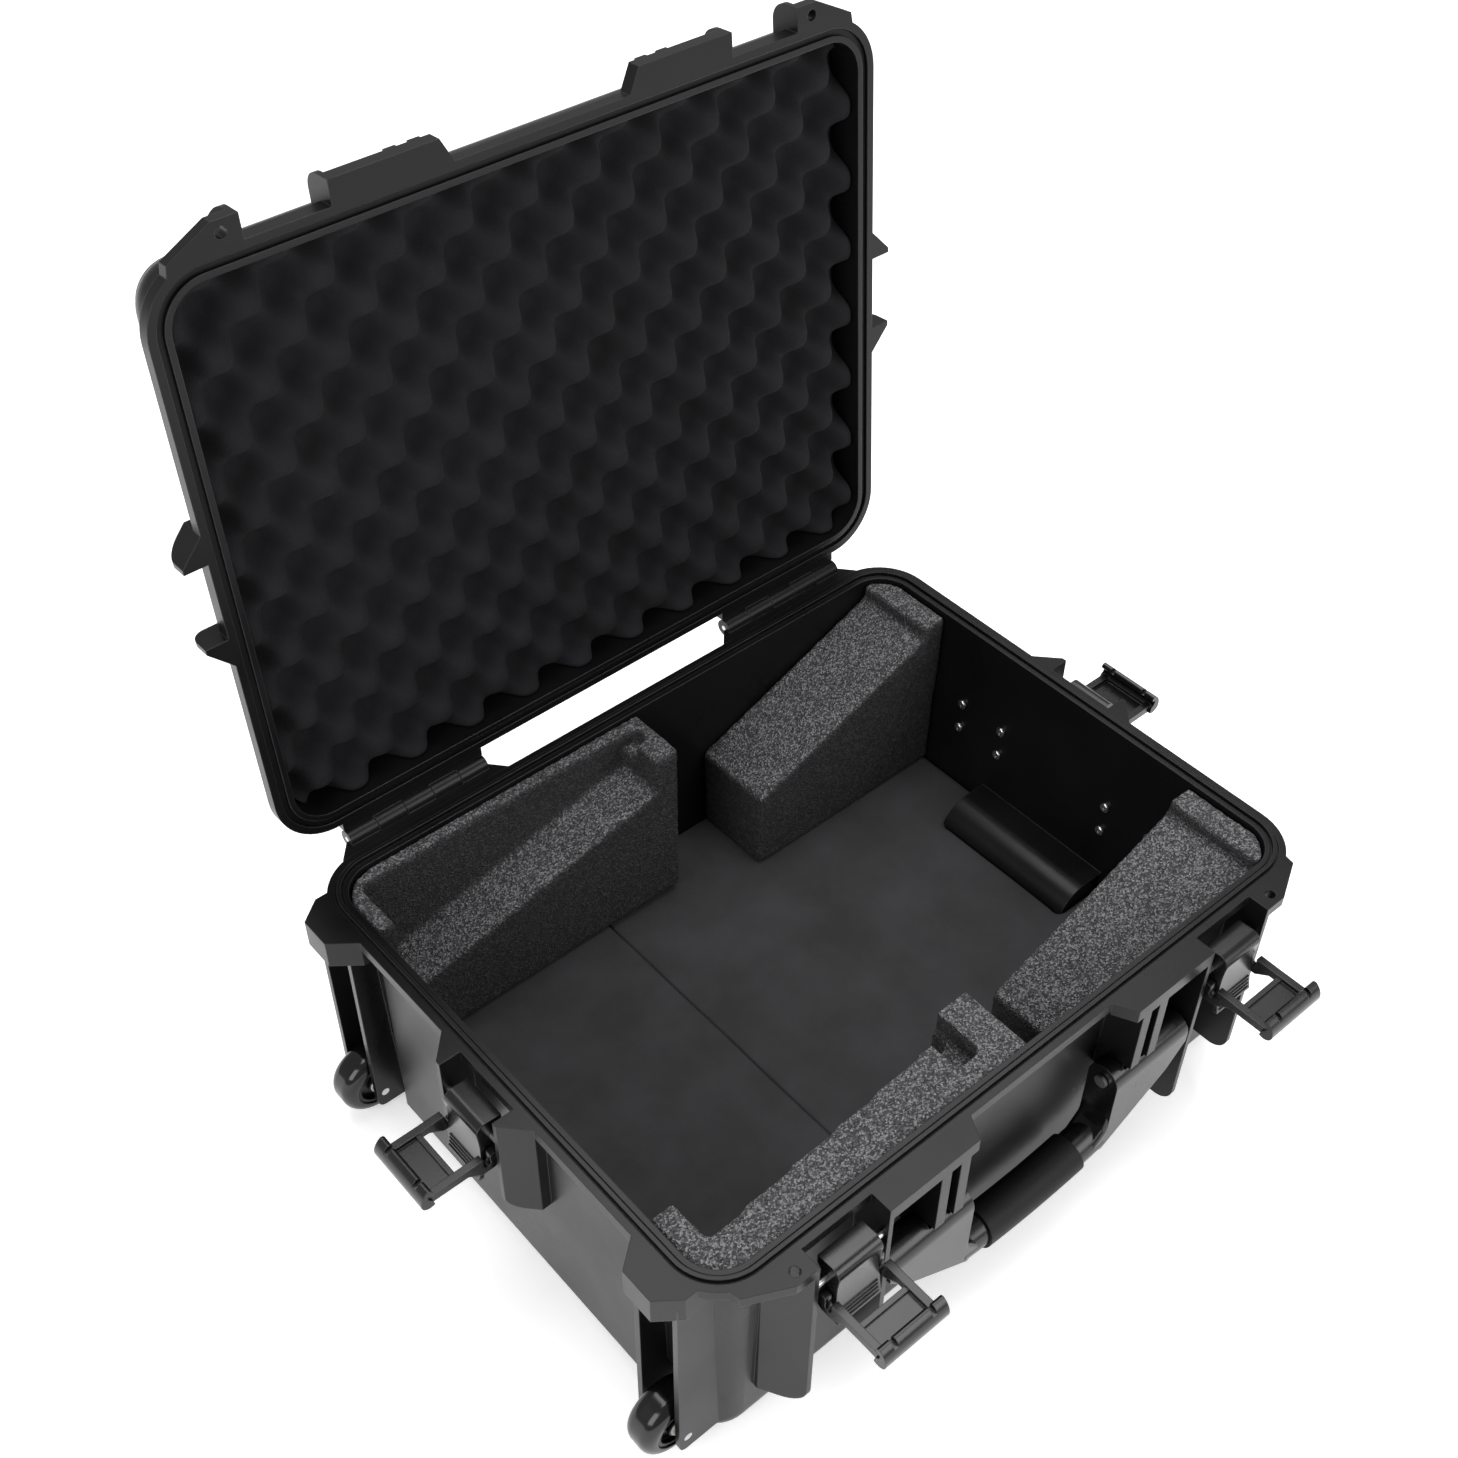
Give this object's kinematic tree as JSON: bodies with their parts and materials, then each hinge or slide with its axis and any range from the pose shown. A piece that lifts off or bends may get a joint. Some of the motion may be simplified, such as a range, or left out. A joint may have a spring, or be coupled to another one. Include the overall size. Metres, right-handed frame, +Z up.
{
  "type": "wheeled protective carrying case",
  "caption": "Wheeled hard carrying case for a drone: hinged lid, double-throw latches, swinging carry handle, pull-out trolley handle and cut foam lining.",
  "frame": {"origin": "on the floor under the middle of the base's rim opening, with the case lying flat", "axes": "+Z up; +X towards the end with the trolley grip, -X towards the wheels; -Y towards the front with the carry handle, +Y towards the hinges"},
  "size_m": [0.6642, 0.5746, 0.6353],
  "materials": {
    "shell_plastic": "spark-eroded satin, injection-moulded polypropylene",
    "latch_plastic": "fine satin, glass-filled nylon",
    "grip_rubber": "matt thermoplastic elastomer",
    "steel": "bright zinc-plated",
    "tube_aluminium": "satin anodised",
    "gasket_rubber": "smooth solid silicone",
    "block_foam": "cut closed-cell polyethylene foam",
    "pad_foam": "smooth-skinned EVA foam",
    "lid_foam": "convoluted open-cell polyurethane foam",
    "wheel_tread": "gloss polyurethane",
    "wheel_hub_plastic": "moulded nylon",
    "bush_plastic": "acetal"
  },
  "bodies": {
    "base": {"base_shell": "shell_plastic", "hinge_pins": "steel", "latch_pins": "steel", "handle_pins": "steel", "wheel_axles": "steel", "trolley_tubes": "tube_aluminium", "trolley_brackets": "shell_plastic", "trolley_end_blocks": "shell_plastic", "bracket_screws": "steel", "bracket_nuts": "steel", "foam_riser_front": "block_foam", "foam_riser_back": "block_foam", "foam_riser_middle": "block_foam", "floor_pad_left": "pad_foam", "floor_pad_right": "pad_foam", "foam_back_left": "block_foam", "foam_back_right": "block_foam", "foam_front_left": "block_foam", "foam_front_right": "block_foam"},
    "lid": {"lid_shell": "shell_plastic", "lid_gasket": "gasket_rubber", "lid_foam": "lid_foam"},
    "lever_front_left": {"latch_lever_front_left": "latch_plastic", "claw_pin_front_left": "steel"},
    "claw_front_left": {"latch_claw_front_left": "latch_plastic"},
    "lever_front_right": {"latch_lever_front_right": "latch_plastic", "claw_pin_front_right": "steel"},
    "claw_front_right": {"latch_claw_front_right": "latch_plastic"},
    "lever_wheel_end": {"latch_lever_wheel_end": "latch_plastic", "claw_pin_wheel_end": "steel"},
    "claw_wheel_end": {"latch_claw_wheel_end": "latch_plastic"},
    "lever_trolley_end": {"latch_lever_trolley_end": "latch_plastic", "claw_pin_trolley_end": "steel"},
    "claw_trolley_end": {"latch_claw_trolley_end": "latch_plastic"},
    "carry_handle": {"carry_handle": "latch_plastic", "handle_grip_sleeve": "grip_rubber"},
    "wheel_front": {"wheel_tyre_front": "wheel_tread", "wheel_hub_front": "wheel_hub_plastic", "wheel_bushes_front": "bush_plastic"},
    "wheel_back": {"wheel_tyre_back": "wheel_tread", "wheel_hub_back": "wheel_hub_plastic", "wheel_bushes_back": "bush_plastic"},
    "trolley": {"trolley_rods": "tube_aluminium", "trolley_grip": "latch_plastic"},
    "trolley_button": {"trolley_button": "latch_plastic"}
  },
  "joints": [
    {"name": "lid_hinge", "type": "hinge", "parent": "base", "child": "lid", "pos_m": [0, 0.2185, 0.198], "axis": [-1, 0, 0], "range_deg": [-94.6, 0]},
    {"name": "lever_front_left_swing", "type": "hinge", "parent": "base", "child": "lever_front_left", "pos_m": [-0.1707, -0.2157, 0.17], "axis": [-1, 0, 0], "range_deg": [0, 60]},
    {"name": "claw_front_left_swing", "type": "hinge", "parent": "lever_front_left", "child": "claw_front_left", "pos_m": [-0.1707, -0.2127, 0.158], "axis": [1, 0, 0], "range_deg": [-90, 0]},
    {"name": "lever_front_right_swing", "type": "hinge", "parent": "base", "child": "lever_front_right", "pos_m": [0.1707, -0.2157, 0.17], "axis": [-1, 0, 0], "range_deg": [0, 60]},
    {"name": "claw_front_right_swing", "type": "hinge", "parent": "lever_front_right", "child": "claw_front_right", "pos_m": [0.1707, -0.2127, 0.158], "axis": [1, 0, 0], "range_deg": [-90, 0]},
    {"name": "lever_wheel_end_swing", "type": "hinge", "parent": "base", "child": "lever_wheel_end", "pos_m": [-0.275, 0, 0.17], "axis": [0, 1, 0], "range_deg": [0, 60]},
    {"name": "claw_wheel_end_swing", "type": "hinge", "parent": "lever_wheel_end", "child": "claw_wheel_end", "pos_m": [-0.272, 0, 0.158], "axis": [0, -1, 0], "range_deg": [-90, 0]},
    {"name": "lever_trolley_end_swing", "type": "hinge", "parent": "base", "child": "lever_trolley_end", "pos_m": [0.275, 0, 0.17], "axis": [0, -1, 0], "range_deg": [0, 60]},
    {"name": "claw_trolley_end_swing", "type": "hinge", "parent": "lever_trolley_end", "child": "claw_trolley_end", "pos_m": [0.272, 0, 0.158], "axis": [0, 1, 0], "range_deg": [-90, 0]},
    {"name": "carry_handle_swing", "type": "hinge", "parent": "base", "child": "carry_handle", "pos_m": [0, -0.209, 0.12], "axis": [-1, 0, 0], "range_deg": [0, 90]},
    {"name": "wheel_front_spin", "type": "hinge", "parent": "base", "child": "wheel_front", "pos_m": [-0.2636, -0.1644, 0.029], "axis": [0, 1, 0], "continuous": true},
    {"name": "wheel_back_spin", "type": "hinge", "parent": "base", "child": "wheel_back", "pos_m": [-0.2636, 0.1644, 0.029], "axis": [0, 1, 0], "continuous": true},
    {"name": "trolley_slide", "type": "slide", "parent": "base", "child": "trolley", "axis": [1, 0, 0], "range_m": [0, 0.33]},
    {"name": "trolley_button_press", "type": "slide", "parent": "trolley", "child": "trolley_button", "axis": [-1, 0, 0], "range_m": [0, 0.0025], "stiffness_N_per_m": 500}
  ]
}
